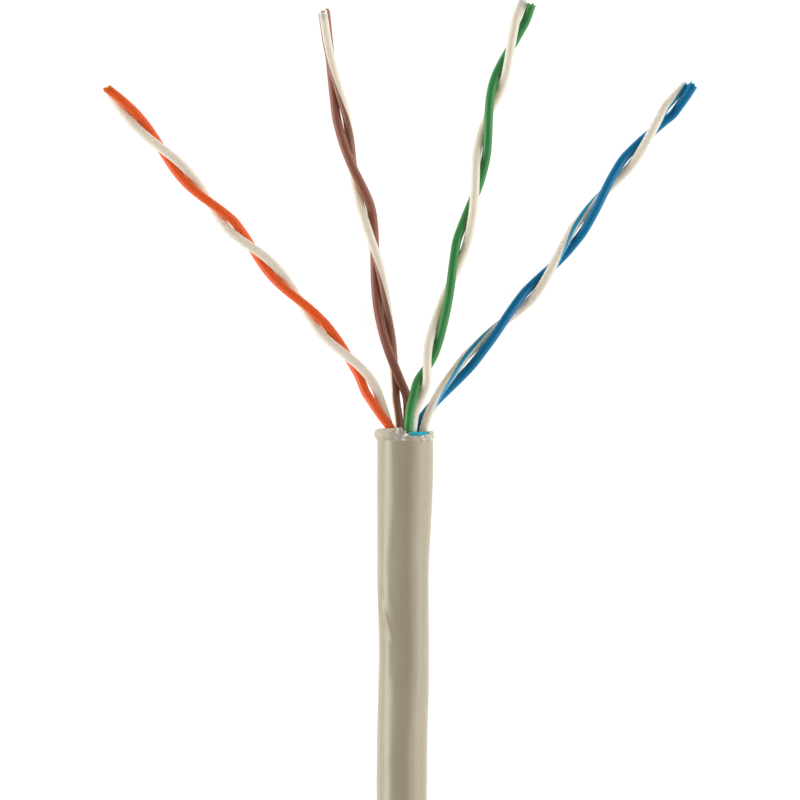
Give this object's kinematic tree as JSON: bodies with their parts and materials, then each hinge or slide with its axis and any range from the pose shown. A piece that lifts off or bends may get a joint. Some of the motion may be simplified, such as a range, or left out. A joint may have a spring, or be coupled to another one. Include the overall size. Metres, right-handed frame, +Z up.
{
  "type": "twisted-pair network cable",
  "caption": "Stripped end of a foil-screened network cable: twisted pairs fanned out of a torn jacket, spare length in a tied coil.",
  "frame": {"origin": "middle of the footprint, on the surface that the cable lies on", "axes": "+Y along the cable towards its stripped end, +Z up, +X to the right seen from above with +Y away"},
  "size_m": [0.0984, 0.1696, 0.0173],
  "materials": {
    "jacket": "warm grey soft plastic sheath, satin, slightly wavy over the pairs beneath",
    "foil": "metallised film with its blue side outwards, glossy and crinkled",
    "tinned_copper": "bright tinned wire",
    "ripcord": "white twisted nylon thread",
    "copper": "bright solid copper",
    "insulation_orange": "satin orange insulation",
    "insulation_green": "satin green insulation",
    "insulation_blue": "satin blue insulation",
    "insulation_brown": "satin brown insulation",
    "insulation_white": "warm white insulation with a thin tracer stripe in its mate's colour",
    "strap": "black hook-and-loop strap"
  },
  "bodies": {
    "root": {"jacket": "jacket", "foil_screen": "foil", "drain_wire": "tinned_copper", "ripcord": "ripcord", "cable_lead": "jacket", "cable_coil": "jacket", "coil_strap_a": "strap", "coil_strap_b": "strap", "orange_wire_inside_insulation": "insulation_orange", "orange_wire_inside_core": "copper", "white_orange_wire_inside_insulation": "insulation_white", "white_orange_wire_inside_core": "copper", "brown_wire_inside_insulation": "insulation_brown", "brown_wire_inside_core": "copper", "white_brown_wire_inside_insulation": "insulation_white", "white_brown_wire_inside_core": "copper", "green_wire_inside_insulation": "insulation_green", "green_wire_inside_core": "copper", "white_green_wire_inside_insulation": "insulation_white", "white_green_wire_inside_core": "copper", "blue_wire_inside_insulation": "insulation_blue", "blue_wire_inside_core": "copper", "white_blue_wire_inside_insulation": "insulation_white", "white_blue_wire_inside_core": "copper"},
    "pair_orange": {"orange_wire_tail_insulation": "insulation_orange", "orange_wire_tail_core": "copper", "white_orange_wire_tail_insulation": "insulation_white", "white_orange_wire_tail_core": "copper"},
    "pair_brown": {"brown_wire_tail_insulation": "insulation_brown", "brown_wire_tail_core": "copper", "white_brown_wire_tail_insulation": "insulation_white", "white_brown_wire_tail_core": "copper"},
    "pair_green": {"green_wire_tail_insulation": "insulation_green", "green_wire_tail_core": "copper", "white_green_wire_tail_insulation": "insulation_white", "white_green_wire_tail_core": "copper"},
    "pair_blue": {"blue_wire_tail_insulation": "insulation_blue", "blue_wire_tail_core": "copper", "white_blue_wire_tail_insulation": "insulation_white", "white_blue_wire_tail_core": "copper"}
  },
  "joints": [
    {"name": "orange_pair_bend", "type": "hinge", "parent": "root", "child": "pair_orange", "pos_m": [-0.0192, 0.04002, 0], "axis": [0, 0, 1], "range_deg": [-8, 25]},
    {"name": "brown_pair_bend", "type": "hinge", "parent": "root", "child": "pair_brown", "pos_m": [-0.01773, 0.04002, 0], "axis": [0, 0, 1], "range_deg": [-6, 6]},
    {"name": "green_pair_bend", "type": "hinge", "parent": "root", "child": "pair_green", "pos_m": [-0.01695, 0.04002, 0], "axis": [0, 0, 1], "range_deg": [-6, 6]},
    {"name": "blue_pair_bend", "type": "hinge", "parent": "root", "child": "pair_blue", "pos_m": [-0.01582, 0.04002, 0], "axis": [0, 0, 1], "range_deg": [-25, 8]}
  ]
}
